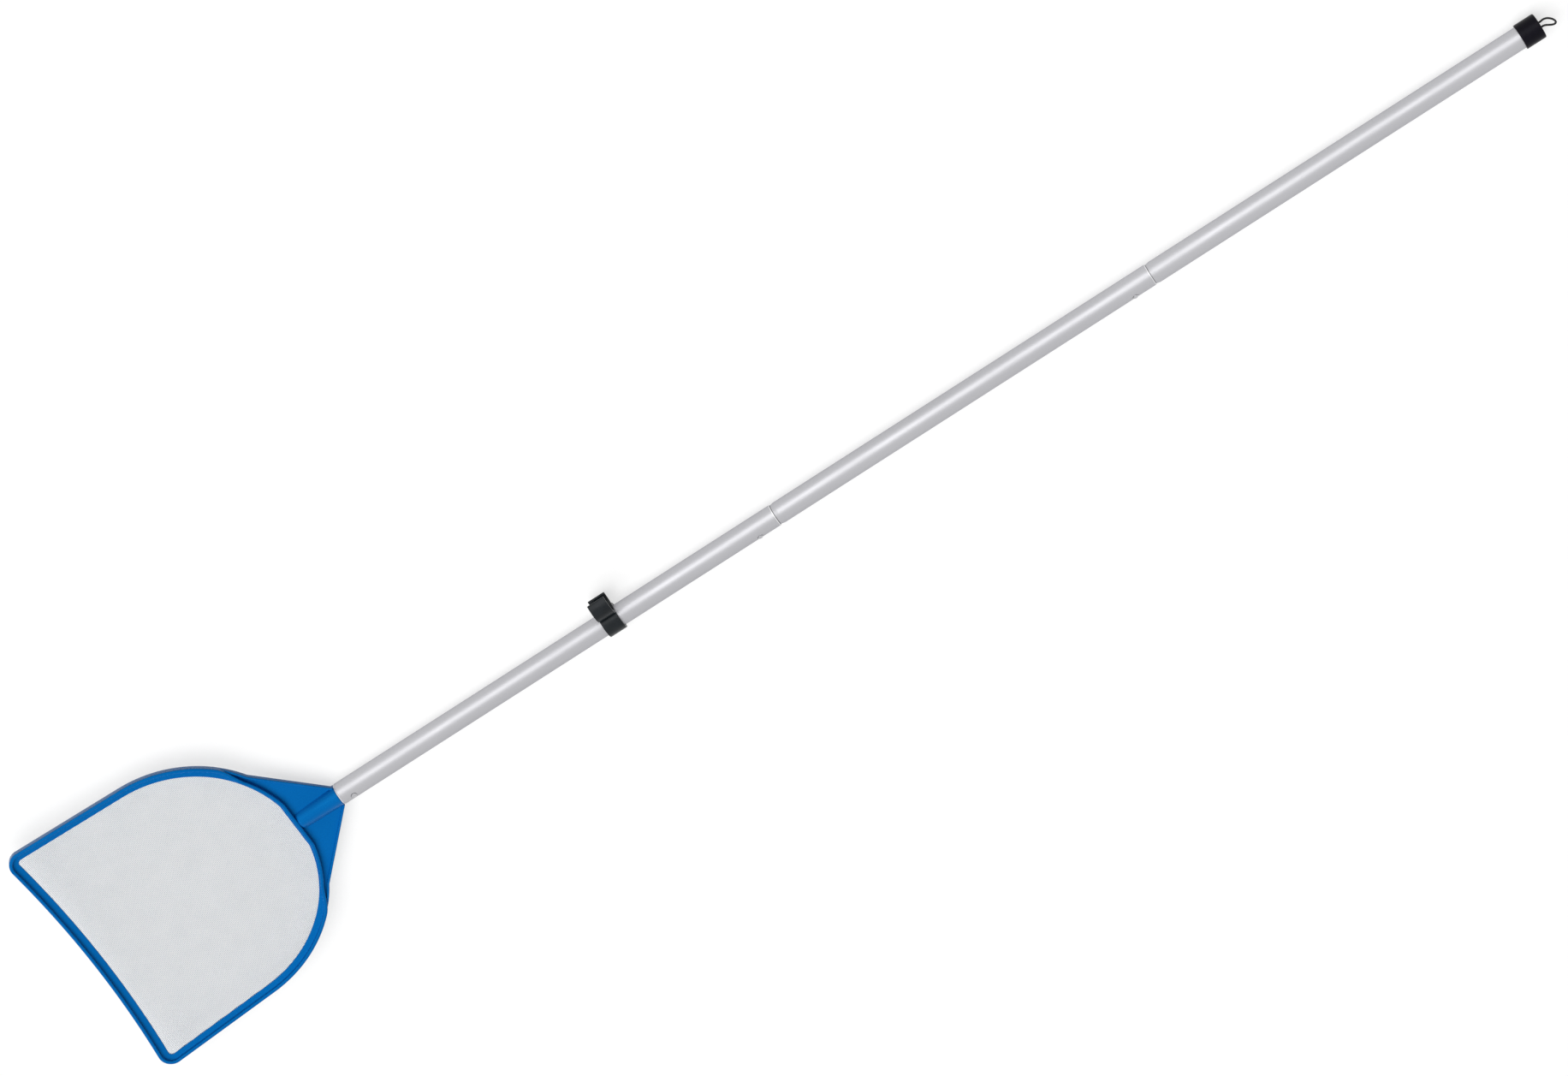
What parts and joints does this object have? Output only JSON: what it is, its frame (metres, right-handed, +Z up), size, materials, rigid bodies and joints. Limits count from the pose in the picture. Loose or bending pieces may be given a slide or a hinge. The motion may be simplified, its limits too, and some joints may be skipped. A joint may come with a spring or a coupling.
{
  "type": "leaf skimmer net",
  "caption": "Shallow leaf skimmer net with a flat mesh in a D-shaped frame, on a sectional pole with spring buttons, a double storage clip and a corded end cap.",
  "frame": {"origin": "middle of the footprint's box, on the floor under the pole", "axes": "+X along the pole from the head to the hang loop, +Y to one side of the head, +Z up out of the head's top face"},
  "size_m": [1.9048, 0.3146, 0.0415],
  "materials": {
    "head_plastic": "semi-gloss moulded",
    "net_mesh": "plain-weave polyester mesh",
    "pole_tube": "satin anodised",
    "button_steel": "plated",
    "spring_steel": "spring steel",
    "clip_plastic": "satin moulded",
    "cap_plastic": "satin moulded",
    "cord": "twisted cord"
  },
  "bodies": {
    "net_and_pole": {"head_frame": "head_plastic", "net": "net_mesh", "front_tube": "pole_tube", "middle_tube": "pole_tube", "rear_tube": "pole_tube", "head_spring": "spring_steel", "front_joint_spring": "spring_steel", "rear_joint_spring": "spring_steel", "end_cap": "cap_plastic", "hang_loop": "cord", "loop_knot": "cord"},
    "head_button": {"head_button": "button_steel"},
    "front_joint_button": {"front_joint_button": "button_steel"},
    "rear_joint_button": {"rear_joint_button": "button_steel"},
    "clip": {"storage_clip": "clip_plastic"}
  },
  "joints": [
    {"name": "head_button_press", "type": "slide", "parent": "net_and_pole", "child": "head_button", "axis": [0, 0.4848, -0.8746], "range_m": [0, 0.0028], "stiffness_N_per_m": 800, "springref_m": -0.002, "deforming": ["head_spring"]},
    {"name": "front_joint_button_press", "type": "slide", "parent": "net_and_pole", "child": "front_joint_button", "axis": [0, 0.7071, -0.7071], "range_m": [0, 0.0028], "stiffness_N_per_m": 800, "springref_m": -0.002, "deforming": ["front_joint_spring"]},
    {"name": "rear_joint_button_press", "type": "slide", "parent": "net_and_pole", "child": "rear_joint_button", "axis": [0, 0.7071, -0.7071], "range_m": [0, 0.0028], "stiffness_N_per_m": 800, "springref_m": -0.002, "deforming": ["rear_joint_spring"]},
    {"name": "clip_slide", "type": "slide", "parent": "net_and_pole", "child": "clip", "axis": [1, 0, 0], "range_m": [-0.3, 0.165]}
  ]
}
